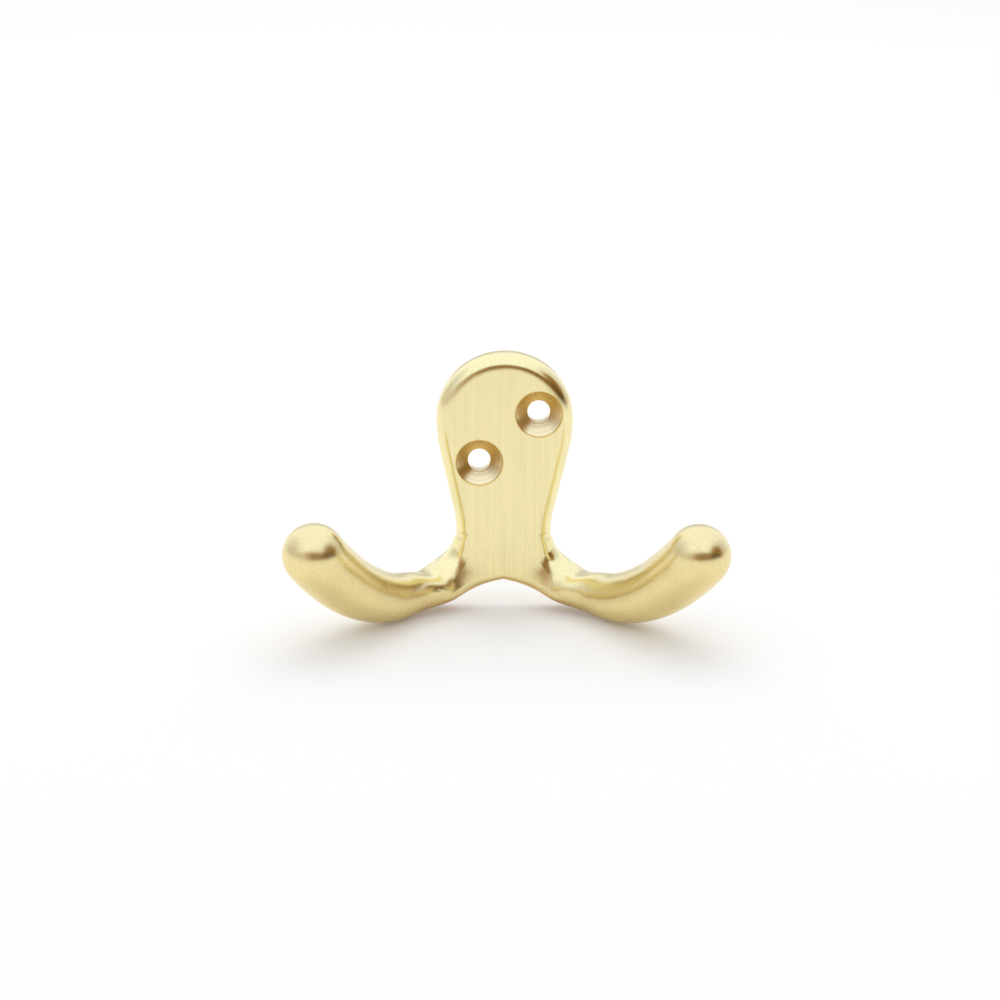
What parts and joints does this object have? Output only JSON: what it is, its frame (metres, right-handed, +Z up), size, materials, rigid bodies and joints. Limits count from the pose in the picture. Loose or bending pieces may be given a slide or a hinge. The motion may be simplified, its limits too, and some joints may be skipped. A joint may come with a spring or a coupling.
{
  "type": "double robe hook",
  "caption": "Cast brass double robe hook: pear-shaped wall plate with countersunk screw holes and rounded arms that run outwards, forwards and up to bulb ends.",
  "frame": {"origin": "on the wall face, at the centre of the plate's round head", "axes": "+X to the right seen from the front, +Y into the wall, +Z up"},
  "size_m": [0.0712, 0.0273, 0.0433],
  "materials": {
    "satin_brass": "satin, brushed upright on the plate, softly polished on the arms"
  },
  "bodies": {
    "root": {"hook_casting": "satin_brass"}
  },
  "joints": []
}
